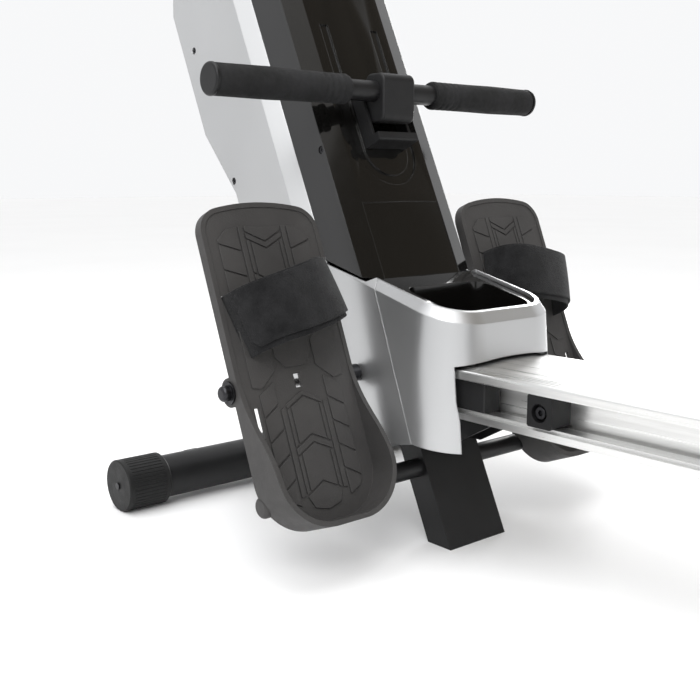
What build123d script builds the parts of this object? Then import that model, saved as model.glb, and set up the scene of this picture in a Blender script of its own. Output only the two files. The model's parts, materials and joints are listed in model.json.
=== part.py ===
from build123d import *
import os
from math import cos, hypot, radians, sin, sqrt, tan

# Magnetic rowing machine, drawn in millimetres.
# +Z is up, +X is the rower's right when facing the tower, +Y points from the seat to the tower.
# Everything is drawn about the foot of the main post; the last lines move it so that the
# origin lies on the floor under the middle of the machine's length.
#
# Two leaning frames are used:
#   tower frame: (x, f, s), with s measured up along the post and f forwards, square to it
#   pedal frame: (x, g, a), with a measured up along the foot plate and g forwards, square to it

# ---- driving dimensions -------------------------------------------------------------------
TOWER_LEAN = 25.0            # degrees forwards from vertical
PEDAL_LEAN = 22.0
SHELL = 3.0                  # plastic wall
TUBE_WALL = 2.0

POST_X, POST_F, POST_TOP = 42.0, 15.0, 330.0          # half width, half depth, length
STABILISER_R, CAP_R, STABILISER_HALF = 25.0, 30.0, 246.0
BOLT_HOLE_R = 4.2                                     # clearance hole for an 8 mm bolt
CAP_LENGTH = 55.0
FRONT_STABILISER_Y = 315.0
REAR_LEG_Y = -1290.0
CROSS_Y, CROSS_Z, CROSS_R, CROSS_HALF = 33.8, 77.2, 10.0, 244.0

RAIL_FRONT_Y, RAIL_REAR_Y = 42.0, -1330.0
RAIL_BOTTOM, RAIL_TOP, RAIL_CROWN = 149.0, 197.0, 202.0
RAIL_HALF, RAIL_BOTTOM_HALF, WEB_HALF = 67.0, 65.0, 38.0
CHANNEL_FLOOR, CHANNEL_ROOF, TRACK_RISE = 156.0, 188.5, 2.5
STOP_LENGTH, STOP_REACH = 27.0, 28.0
FRONT_STOP_Y, REAR_STOP_Y = -143.5, -1268.5

COVER_HALF = 92.0                                     # tower side panels
BASE_HALF, BASE_REAR_Y, BASE_CORNER = 99.0, -67.0, 62.0   # base shell at its lowest height
BASE_Z, BASE_DRAFT = 60.0, 4.5                        # the base shell narrows upwards, in degrees
RIM_MARGIN = 11.0                                     # rim round the tray
SHELF_SLOPE, SHELF_Z0 = 14.0, 261.9                   # shelf height at y = 0
SEAM_F = -61.0                                        # joint between rear shell and sides
FACE_F, FACE_HALF = -52.0, 56.0                       # black front cover, flat part
BAND_F, BAND_HALF = -44.0, 80.0                       # black side band starts here
BEVEL_F0, BEVEL_F1 = 3.0, 20.0                        # silver bevel beside the band
TOWER_TOP = 770.0

AXLE_Y, AXLE_Z, AXLE_R = 75.0, 180.0, 4.0             # pedal axle
PEDAL_X, PEDAL_HALF = 178.0, 70.0
PEDAL_TOP, HEEL_LOW, HEEL_CORNER, BED_BACK, BED_THICK = 182.0, -143.0, 53.0, 10.5, 4.0
PEDAL_WALL, SKIRT_BACK, TOP_ARC_R = 5.0, 4.5, 240.0
STRAP_CENTRE_A, STRAP_WIDTH, STRAP_RISE = 71.0, 62.0, 50.0
STRAP_TURN = 13.0                                     # the strap's outer end lies nearer the heel

PLATE_X, PLATE_T = 42.0, 4.0                          # drive side plates, inner face
FLYWHEEL_F, FLYWHEEL_S, FLYWHEEL_R, FLYWHEEL_HALF = 45.0, 610.0, 85.0, 18.0
PULLEY_F, PULLEY_S, PULLEY_R, SMALL_PULLEY_R = 35.0, 430.0, 65.0, 20.0
BELT_X0, BELT_X1, BELT_GAP, BELT_T = 26.0, 36.0, 0.3, 3.0
DRIVE_AXLE_R, FLY_AXLE_R, RUNNING = 6.0, 5.0, 0.05
BRAKE_PIVOT_F, BRAKE_PIVOT_S, BRAKE_R = -34.7, 656.0, 93.0

HANDLE_Y, HANDLE_Z, HANDLE_HALF, HANDLE_R = 128.0, 470.0, 230.0, 11.0
GUIDE_Y, GUIDE_Z, GUIDE_R = 186.0, 459.8, 9.0
KNOB_S, KNOB_R = 690.0, 28.0
CONSOLE_F, CONSOLE_PIVOT_S = 0.0, 798.0

SEAT_Y, ROLLER_R, ROLLER_SPREAD = -750.0, 14.0, 60.0
ROLLER_Z = CHANNEL_FLOOR + TRACK_RISE + 0.3 + ROLLER_R

nodes = {}
frame_bolts, small_screws = [], []                    # fasteners, one node each


# ---- small helpers ------------------------------------------------------------------------
def box(x0, x1, y0, y1, z0, z1):
    """Block between two opposite corners."""
    return Pos((x0 + x1) / 2, (y0 + y1) / 2, (z0 + z1) / 2) * Box(x1 - x0, y1 - y0, z1 - z0)


def rod_x(x0, x1, y, z, r):
    """Cylinder along X."""
    return Pos((x0 + x1) / 2, y, z) * Rot(0, 90, 0) * Cylinder(r, x1 - x0)


def rod_y(y0, y1, x, z, r):
    """Cylinder along Y."""
    return Pos(x, (y0 + y1) / 2, z) * Rot(90, 0, 0) * Cylinder(r, y1 - y0)


def rod_z(z0, z1, x, y, r):
    """Cylinder along Z."""
    return Pos(x, y, (z0 + z1) / 2) * Cylinder(r, z1 - z0)


def prism_x(points, x0, x1):
    """Polygon of (y, z) points, extruded from x0 to x1."""
    return extrude(Plane.YZ.offset(x0) * make_face(Polyline(*points, close=True)), x1 - x0)


def both(shape):
    """The shape and its mirror image on the other side of the machine."""
    return [shape, mirror(shape, about=Plane.YZ)]


def group(shapes):
    """Separate solids kept in one node."""
    return Compound(children=[solid for shape in shapes for solid in shape.solids()])


TOWER = Rot(-TOWER_LEAN, 0, 0)
SIN_T, COS_T = sin(radians(TOWER_LEAN)), cos(radians(TOWER_LEAN))


def to_tower(y, z):
    """World (y, z) as tower (f, s)."""
    return y * COS_T - z * SIN_T, y * SIN_T + z * COS_T


def to_world(f, s):
    """Tower (f, s) as world (y, z)."""
    return f * COS_T + s * SIN_T, s * COS_T - f * SIN_T


def shelf_z(y):
    """Height of the sloping shelf round the tray."""
    return SHELF_Z0 + y * tan(radians(SHELF_SLOPE))


# ---- frame --------------------------------------------------------------------------------
def make_frame():
    post_block = TOWER * box(-POST_X, POST_X, -POST_F, POST_F, -30, POST_TOP)
    post_bore = TOWER * box(-POST_X + TUBE_WALL, POST_X - TUBE_WALL, -POST_F + TUBE_WALL,
                            POST_F - TUBE_WALL, -40, POST_TOP + 10)
    above_cap = box(-60, 60, -100, 300, 3, 400)
    cross_hole = rod_x(-60, 60, CROSS_Y, CROSS_Z, CROSS_R)
    axle_hole = rod_x(-60, 60, AXLE_Y, AXLE_Z, AXLE_R)
    post = (post_block - post_bore) & above_cap
    post = post - cross_hole - axle_hole
    for s in PLATE_BOLTS_S:
        post -= TOWER * rod_x(-60, 60, 0, s, BOLT_HOLE_R)

    floor_slab = box(-60, 60, -60, 60, 0, 3)
    plug_inside = (post_bore & box(-60, 60, -60, 60, 0, 16))
    cap = (post_block & floor_slab) + plug_inside
    nodes["post_foot_cap"] = cap

    strut_start, strut_end = (88.0, 166.0), (FRONT_STABILISER_Y, 34.0)
    dy, dz = strut_end[0] - strut_start[0], strut_end[1] - strut_start[1]
    length = hypot(dy, dz)
    along = Pos(0, *strut_start) * Rot(-90 - Vector(0, 1, 0).get_angle(Vector(0, dy, dz)), 0, 0)
    strut = along * (box(-30, 30, -15, 15, 0, length)
                     - box(-28, 28, -13, 13, -1, length + 1))
    strut -= post_block
    strut -= rod_x(-50, 50, FRONT_STABILISER_Y, CAP_R, STABILISER_R + 3)
    strut = max(strut.solids(), key=lambda solid: solid.volume)
    nodes["front_strut"] = strut + saddle(front_saddle_place())

    cross = (rod_x(-CROSS_HALF + 8, CROSS_HALF - 8, CROSS_Y, CROSS_Z, CROSS_R)
             - rod_x(-300, 300, CROSS_Y, CROSS_Z, CROSS_R - TUBE_WALL))
    plug = rod_x(CROSS_HALF - 8, CROSS_HALF, CROSS_Y, CROSS_Z, CROSS_R + 0.5)
    plug = fillet(plug.edges().group_by(Axis.X)[-1], 4)
    plug += rod_x(CROSS_HALF - 24, CROSS_HALF - 8, CROSS_Y, CROSS_Z, CROSS_R - TUBE_WALL)
    nodes["cross_tube_plugs"] = group(both(plug))

    # Welded to the post: a bracket under the front end of the rail, with two gussets.
    plate = box(-32, 32, -82, 60, RAIL_BOTTOM - 4, RAIL_BOTTOM)
    gusset = prism_x([(-70, 145), (60, 145), (60, 118), (30, 100), (10, 100)], 28, 32)
    bracket = plate + gusset + mirror(gusset, about=Plane.YZ) - post_block
    for y in RAIL_BOLTS_Y:
        bracket -= rod_z(140, 155, 0, y, BOLT_HOLE_R)
    bracket = bracket.solids().sort_by(SortBy.VOLUME)[-1]
    nodes["main_post"] = post + cross + bracket


def front_saddle_place():
    return Pos(0, FRONT_STABILISER_Y, CAP_R) * Rot(FRONT_SADDLE_TILT, 0, 0)


def rear_saddle_place():
    return Pos(0, REAR_LEG_Y, CAP_R)


def saddle(place):
    """Half-round plate on a stabiliser tube, with its two bolt holes."""
    plate = rod_x(-52, 52, 0, 0, STABILISER_R + 3) - rod_x(-60, 60, 0, 0, STABILISER_R)
    plate &= box(-60, 60, -40, 40, 8, 60)
    for x in SADDLE_BOLTS_X:
        plate -= rod_z(0, 60, x, 0, BOLT_HOLE_R)
    return place * plate


def make_stabiliser(name, y, place):
    """Round cross tube with its ribbed end caps, their screws and the saddle bolts."""
    shoulder = STABILISER_HALF - CAP_LENGTH
    tube = (rod_x(-STABILISER_HALF + 3, STABILISER_HALF - 3, y, CAP_R, STABILISER_R)
            - rod_x(-300, 300, y, CAP_R, STABILISER_R - TUBE_WALL))
    for x in SADDLE_BOLTS_X:
        tube -= place * rod_z(0, 60, x, 0, BOLT_HOLE_R)
        bolt = rod_z(STABILISER_R - TUBE_WALL - 6, STABILISER_R + 3, x, 0, 4)
        washer = rod_z(STABILISER_R + 3, STABILISER_R + 4.5, x, 0, 9)
        head = Pos(x, 0, STABILISER_R + 4.5) * extrude(RegularPolygon(7, 6), 5)
        frame_bolts.append(place * (bolt + washer + head))
    nodes[name] = tube

    ribs = PolarLocations(CAP_R + 0.3, 44)
    section = Circle(CAP_R) - ribs * Circle(0.9) - Circle(STABILISER_R)
    sleeve = extrude(Plane.YZ.offset(shoulder + 8) * section, CAP_LENGTH - 14)
    neck = rod_x(shoulder, shoulder + 8, 0, 0, CAP_R)
    neck = chamfer(neck.edges().group_by(Axis.X)[0], 3) - rod_x(0, 300, 0, 0, STABILISER_R)
    end = rod_x(STABILISER_HALF - 6, STABILISER_HALF, 0, 0, CAP_R)
    end = chamfer(end.edges().group_by(Axis.X)[-1], 1.2)
    end -= rod_x(0, STABILISER_HALF - 3, 0, 0, STABILISER_R)
    end -= rod_x(STABILISER_HALF - 4, STABILISER_HALF + 1, 0, 0, 2)
    small_screws.extend(both(rod_x(STABILISER_HALF, STABILISER_HALF + 1.6, y, CAP_R, 4)
                             + rod_x(STABILISER_HALF - 3, STABILISER_HALF, y, CAP_R, 2)))
    return both(Pos(0, y, CAP_R) * (neck + sleeve + end))


def make_stabilisers():
    front = make_stabiliser("front_stabiliser_tube", FRONT_STABILISER_Y, front_saddle_place())
    rear = make_stabiliser("rear_stabiliser_tube", REAR_LEG_Y, rear_saddle_place())
    nodes["stabiliser_end_caps"] = group(front + rear)

    # Transport wheels ahead of the front tube, in forks welded to it.
    wheel_y, wheel_z = FRONT_STABILISER_Y + 46.0, 22.0
    x0 = 120.0
    arm = prism_x([(FRONT_STABILISER_Y + 10, 46), (wheel_y + 7, 31), (wheel_y + 7, 15),
                   (wheel_y - 6, 13), (FRONT_STABILISER_Y + 18, 13)], x0 + 11, x0 + 14)
    arm -= rod_x(0, 300, FRONT_STABILISER_Y, CAP_R, STABILISER_R)
    arm -= rod_x(0, 300, wheel_y, wheel_z, 4)
    fork = arm + Pos(-25, 0, 0) * arm
    nodes["front_stabiliser_tube"] += fork + mirror(fork, about=Plane.YZ)
    pin = (rod_x(x0 - 14, x0 + 14, wheel_y, wheel_z, 4)
           + rod_x(x0 + 14, x0 + 17, wheel_y, wheel_z, 6)
           + rod_x(x0 - 17, x0 - 14, wheel_y, wheel_z, 6))
    frame_bolts.extend(both(pin))
    wheel = rod_x(x0 - 10, x0 + 10, wheel_y, wheel_z, 19)
    wheel = fillet(wheel.edges().filter_by(GeomType.CIRCLE), 3)
    wheel -= rod_x(x0 - 20, x0 + 20, wheel_y, wheel_z, 4 + RUNNING)
    nodes["transport_wheel_right"], nodes["transport_wheel_left"] = both(wheel)


# ---- rail ---------------------------------------------------------------------------------
def rail_outline(grow=0.0):
    """Outer section of the rail, without its side channels."""
    top, low = RAIL_TOP + grow, RAIL_BOTTOM - grow
    half, low_half = RAIL_HALF + grow, RAIL_BOTTOM_HALF + grow
    sides = Polyline((-half, top), (-half, low + 20), (-low_half, low), (low_half, low),
                     (half, low + 20), (half, top))
    dome = ThreePointArc((half, top), (0, RAIL_CROWN + grow), (-half, top))
    return make_face(sides + dome)


def make_rail():
    section = rail_outline()
    section = fillet(section.vertices().sort_by(Axis.Y)[-2:], 2.5)
    channel_mid = (CHANNEL_FLOOR + CHANNEL_ROOF) / 2
    for side in (-1, 1):
        channel = Rectangle(RAIL_HALF - WEB_HALF + 6, CHANNEL_ROOF - CHANNEL_FLOOR)
        section -= Pos(side * (WEB_HALF + RAIL_HALF + 6) / 2, channel_mid) * channel
        section += Pos(side * 52.5, CHANNEL_FLOOR + TRACK_RISE / 2 - 0.5) * Rectangle(15, TRACK_RISE + 1)
        for x in (50.0, 53.5, 57.0, 60.5):
            section -= Pos(side * x, RAIL_CROWN - x * x / 900 + 0.1) * Rectangle(0.9, 1.6)
    section -= Pos(0, 172) * Rectangle(2 * WEB_HALF - 6, 36)
    rail = extrude(Plane.XZ.offset(-RAIL_FRONT_Y) * section, RAIL_FRONT_Y - RAIL_REAR_Y)
    for y in RAIL_BOLTS_Y + LEG_BOLTS_Y:
        rail -= rod_z(RAIL_BOTTOM - 2, 160, 0, y, BOLT_HOLE_R)
    for x, y in [(side, y) for side in (-1, 1) for y in (FRONT_STOP_Y, REAR_STOP_Y)]:
        rail -= rod_x(min(30 * x, 45 * x), max(30 * x, 45 * x), y, channel_mid, 3.2)
    nodes["rail"] = rail

    def bolt_up(y, head_z):
        return (rod_z(head_z, 158, 0, y, 4)
                + Pos(0, y, head_z - 5) * extrude(RegularPolygon(7, 6), 5))
    for y in RAIL_BOLTS_Y + LEG_BOLTS_Y:
        frame_bolts.append(bolt_up(y, RAIL_BOTTOM - 4))

    cap = extrude(Plane.XZ.offset(-RAIL_REAR_Y) * rail_outline(2.0), 15)
    cap = fillet(cap.faces().sort_by(Axis.Y)[0].edges(), 4)
    plug = box(3.5 - WEB_HALF, WEB_HALF - 3.5, RAIL_REAR_Y, RAIL_REAR_Y + 11, 154.5, 189.5)
    nodes["rail_end_cap"] = cap + plug

    def stop(y):
        block = box(WEB_HALF, WEB_HALF + STOP_REACH, y - STOP_LENGTH / 2, y + STOP_LENGTH / 2,
                    CHANNEL_FLOOR + TRACK_RISE + 0.2, CHANNEL_ROOF - 0.2)
        block = chamfer(block.edges().filter_by(Axis.X), 1.5)
        block -= rod_x(WEB_HALF + STOP_REACH - 8, 80, y, channel_mid, 8.5)
        return block - rod_x(0, 80, y, channel_mid, 3.2)

    def stop_screw(y):
        head = rod_x(WEB_HALF + STOP_REACH - 8, WEB_HALF + STOP_REACH - 2, y, channel_mid, 5.5)
        socket = extrude(Plane.YZ.offset(WEB_HALF + STOP_REACH - 5) * RegularPolygon(2.9, 6), 5)
        return head + rod_x(32, WEB_HALF + 20, y, channel_mid, 3) - Pos(0, y, channel_mid) * socket
    nodes["rail_stop_blocks"] = group(both(stop(FRONT_STOP_Y)) + both(stop(REAR_STOP_Y)))
    small_screws.extend(both(stop_screw(FRONT_STOP_Y)) + both(stop_screw(REAR_STOP_Y)))

    root = box(WEB_HALF, 61, -75, 20, CHANNEL_FLOOR + TRACK_RISE + 0.2, CHANNEL_ROOF - 0.2)
    nodes["rail_root_blocks"] = group(both(fillet(root.edges().filter_by(Axis.Z), 2)))

    # Rear leg: rectangular tube from the rail down to the rear stabiliser.
    leg = (box(-32, 32, REAR_LEG_Y - 16, REAR_LEG_Y + 16, 30, RAIL_BOTTOM - 4)
           - box(-30, 30, REAR_LEG_Y - 14, REAR_LEG_Y + 14, 0, 200))
    leg -= rod_x(-50, 50, REAR_LEG_Y, CAP_R, STABILISER_R + 3)
    plate = box(-36, 36, REAR_LEG_Y - 34, REAR_LEG_Y + 34, RAIL_BOTTOM - 4, RAIL_BOTTOM)
    for y in LEG_BOLTS_Y:
        plate -= rod_z(140, 155, 0, y, BOLT_HOLE_R)
    leg = max(leg.solids(), key=lambda solid: solid.volume)
    nodes["rear_leg"] = leg + plate + saddle(rear_saddle_place())


# ---- covers -------------------------------------------------------------------------------
def cover_body(inset):
    """Whole silver housing as one solid; inset moves every outer wall inwards."""
    half = COVER_HALF - inset
    bottom = 14.0 if inset else 0.0                     # the inside runs out through the base
    step_f = BEVEL_F0 + inset                           # below the band the panel stands proud of the base
    outline = [(step_f, 118 - bottom * 2), (10, 120 - bottom * 2), (62 - inset, 150 - bottom),
               (119 - inset, 230), (112 - inset, 450), (141 - inset, 540), (141 - inset, 700),
               (105 - inset, TOWER_TOP - inset), (step_f, TOWER_TOP - inset)]
    tower = TOWER * prism_x(outline, -half, half)
    if inset:                                           # the inside is open behind the band
        tower += TOWER * box(-half, half, BEVEL_F0 - 60, BEVEL_F0 + inset, 300, TOWER_TOP - inset)
    bevel = make_face(Polyline((BAND_HALF - inset, -80), (BAND_HALF - inset, BEVEL_F0 + inset / 2),
                               (half, BEVEL_F1), (120, BEVEL_F1), (120, -80), close=True))
    wedge = TOWER * Pos(0, 0, 100) * extrude(bevel, 700)
    tower = tower - wedge - mirror(wedge, about=Plane.YZ)

    base_half, depth = BASE_HALF - inset, 230 - BASE_REAR_Y - inset
    plan = Pos(0, 230 - depth / 2, BASE_Z) * Rectangle(2 * base_half, depth)
    plan = fillet(plan.vertices().group_by(Axis.Y)[0], BASE_CORNER - inset)
    base = extrude(plan, 270, taper=BASE_DRAFT)
    top_cut = prism_x([(-100, shelf_z(-100) - inset), (300, shelf_z(300) - inset), (300, 500),
                       (-100, 500)], -200, 200)
    base -= top_cut
    base = chamfer(base.faces().sort_by(Axis.Z)[-1].edges(), 9, 7)
    y_low, z_low = to_world(SEAM_F, 105)
    front_edge = [to_world(62 - inset, 150), to_world(119 - inset, 230), (400, 200)]
    if inset:
        below = [*front_edge, (400, 100), (150, 60)]
    else:
        rear_low = (-200, 137 - 144 * 0.28)
        below = [rear_low, (y_low, z_low), to_world(10, 120), *front_edge, (400, 0), (-200, 0)]
    base -= prism_x(below, -200, 200)
    limit = TOWER * box(-200, 200, -400, 119 - inset, -400, 400)
    return base & limit, tower


def make_covers():
    base_out, tower_out = cover_body(0.0)
    base_in, tower_in = cover_body(SHELL)
    above_shelf = prism_x([(-100, shelf_z(-100) - 5), (300, shelf_z(300) - 5), (300, 900), (-100, 900)],
                          -200, 200)
    housing = (base_out + tower_out) - base_in - tower_in
    # Room for the black front cover, the tray, the rail, the strut, the axle and the screws.
    housing -= TOWER * box(-BAND_HALF - 0.3, BAND_HALF + 0.3, -140, BEVEL_F0, 279, 900)
    tray_room = box(-RIM_HALF, RIM_HALF, RIM_REAR_Y, 160, 215, 330)
    tray_room = fillet(tray_room.edges().filter_by(Axis.Z).group_by(Axis.Y)[0], RIM_CORNER)
    housing -= tray_room
    rail_room = extrude(Plane.XZ.offset(-10) * rail_outline(3.0), 100)
    rail_room += box(-RAIL_BOTTOM_HALF - 3, RAIL_BOTTOM_HALF + 3, -90, 10, BASE_Z, RAIL_BOTTOM + 11)
    housing -= rail_room
    housing -= box(-33, 33, 90, 240, 60, 172)
    housing -= rod_x(-120, 120, AXLE_Y, AXLE_Z, AXLE_R + 0.4)
    for f, s in PANEL_SCREWS:
        housing -= TOWER * both_rods(86, 96, f, s, 4.2)

    seam = TOWER * box(-200, 200, -300, SEAM_F, -200, 600)
    rear = housing & seam
    nodes["base_rear_cover"] = rear.solids().sort_by(SortBy.VOLUME)[-1]
    sides = housing - seam
    for name, x0, x1 in (("side_cover_left", -200, 0), ("side_cover_right", 0, 200)):
        half = sides & box(x0, x1, -400, 600, 0, 1000)
        nodes[name] = half.solids().sort_by(SortBy.VOLUME)[-1]

    # Black front cover: flat face, bevelled corners and side bands.
    outline = [(-BAND_HALF, BEVEL_F0), (-BAND_HALF, BAND_F), (-FACE_HALF, FACE_F),
               (FACE_HALF, FACE_F), (BAND_HALF, BAND_F), (BAND_HALF, BEVEL_F0)]
    inner = [(-BAND_HALF + SHELL, BEVEL_F0), (-BAND_HALF + SHELL, BAND_F + 2),
             (-FACE_HALF + 1, FACE_F + SHELL), (FACE_HALF - 1, FACE_F + SHELL),
             (BAND_HALF - SHELL, BAND_F + 2), (BAND_HALF - SHELL, BEVEL_F0)]
    ring = make_face(Polyline(*outline, close=True)) - make_face(Polyline(*inner, close=True))
    front = TOWER * Pos(0, 0, 240) * extrude(ring, TOWER_TOP - 240)
    front &= above_shelf
    front -= TOWER * Pos(0, 0, 365) * inset_cut()
    front -= box(-17, 17, 130, 200, HANDLE_Z - 4, HANDLE_Z + 4)
    front -= TOWER * rod_y(-70, 0, 0, KNOB_S, 6.4)
    for f, s in BAND_SCREWS:
        front -= TOWER * both_rods(74, 84, f, s, 4.2)
    nodes["front_cover"] = front.solids().sort_by(SortBy.VOLUME)[-1]

    for f, s in PANEL_SCREWS:
        small_screws.extend(both(TOWER * screw_x(88, 74, f, s)))
    for f, s in BAND_SCREWS:
        small_screws.extend(both(TOWER * screw_x(76.5, 62, f, s)))

    # Lid over the top of the tower.
    cap = TOWER * box(-BAND_HALF, BAND_HALF, FACE_F + 1, 100, TOWER_TOP + 0.2, TOWER_TOP + 12)
    cap = fillet(cap.edges().filter_by(Axis(origin=(0, 0, 0), direction=(0, SIN_T, COS_T))), 12)
    cap = chamfer(cap.faces().sort_by(Axis.Z)[-1].edges(), 4)
    nodes["tower_top_cap"] = cap - TOWER * box(-26, 26, -12, 12, TOWER_TOP + 8, TOWER_TOP + 30)

    # Tray liner: black rim plate on the shelf with a deep rounded pocket.
    rim = box(0.4 - RIM_HALF, RIM_HALF - 0.4, RIM_REAR_Y + 0.5, 100, 200, 330)
    rim = fillet(rim.edges().filter_by(Axis.Z).group_by(Axis.Y)[0], RIM_CORNER - 0.5)
    slab = prism_x([(-60, shelf_z(-60) - 7), (100, shelf_z(100) - 7), (100, shelf_z(100) - 4),
                    (-60, shelf_z(-60) - 4)], -100, 100)
    rim &= slab
    rim &= TOWER * box(-200, 200, -200, FACE_F - 0.5, 0, 400)
    pocket = box(-TRAY_HALF - 2, TRAY_HALF + 2, TRAY_Y0 - 2, TRAY_Y1 + 2, TRAY_FLOOR - 2.5, 330)
    pocket = fillet(pocket.edges().filter_by(Axis.Z), 20)
    below = prism_x([(-100, 100), (200, 100), (200, shelf_z(200) - 5), (-100, shelf_z(-100) - 5)],
                    -100, 100)
    hollow = box(-TRAY_HALF, TRAY_HALF, TRAY_Y0, TRAY_Y1, TRAY_FLOOR, 340)
    hollow = fillet(hollow.edges().filter_by(Axis.Z), 18)
    hollow = fillet(hollow.faces().sort_by(Axis.Z)[0].edges(), 5)
    nodes["tray_liner"] = rim + (pocket & below) - hollow

    # Cradle that the handle's hub hangs in, under the strap's way out.
    ledge = box(-28.5, 28.5, -77, FACE_F, 427, 436)
    cheek = box(25, 28.5, -69, FACE_F, 436, 500)
    cheek = chamfer(cheek.edges().group_by(Axis.Z)[-1].group_by(Axis.Y)[0], 12)
    cradle = ledge + cheek + mirror(cheek, about=Plane.YZ)
    nodes["handle_cradle"] = TOWER * fillet(cradle.faces().sort_by(Axis.Z)[0].edges().filter_by(Axis.X), 3)


def inset_cut():
    """Step and U-shaped groove in the front cover, drawn from s = 365 upwards."""
    step = Pos(0, FACE_F, -46.5) * Box(2 * FACE_HALF, 1.6, 93)
    groove = Circle(42) - Circle(31)
    groove = extrude(Plane.XZ * groove, 2, both=True)
    lower_half = box(-60, 60, -10, 10, -60, 0)
    legs = box(31, 42, -2, 2, 0, 150)
    u_shape = (groove & lower_half) + legs + mirror(legs, about=Plane.YZ)
    return step + Pos(0, FACE_F, 62) * u_shape


def both_rods(x0, x1, y, z, r):
    return rod_x(x0, x1, y, z, r) + rod_x(-x1, -x0, y, z, r)


def screw_x(head_x, tip_x, y, z):
    """Pan-head screw along X; its head is at head_x."""
    head = rod_x(head_x, head_x + 2.5, y, z, 3.8)
    cross = box(head_x + 1.5, head_x + 3, y - 2.2, y + 2.2, z - 0.4, z + 0.4)
    cross += box(head_x + 1.5, head_x + 3, y - 0.4, y + 0.4, z - 2.2, z + 2.2)
    return head - cross + rod_x(tip_x, head_x, y, z, 1.8)


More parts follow.
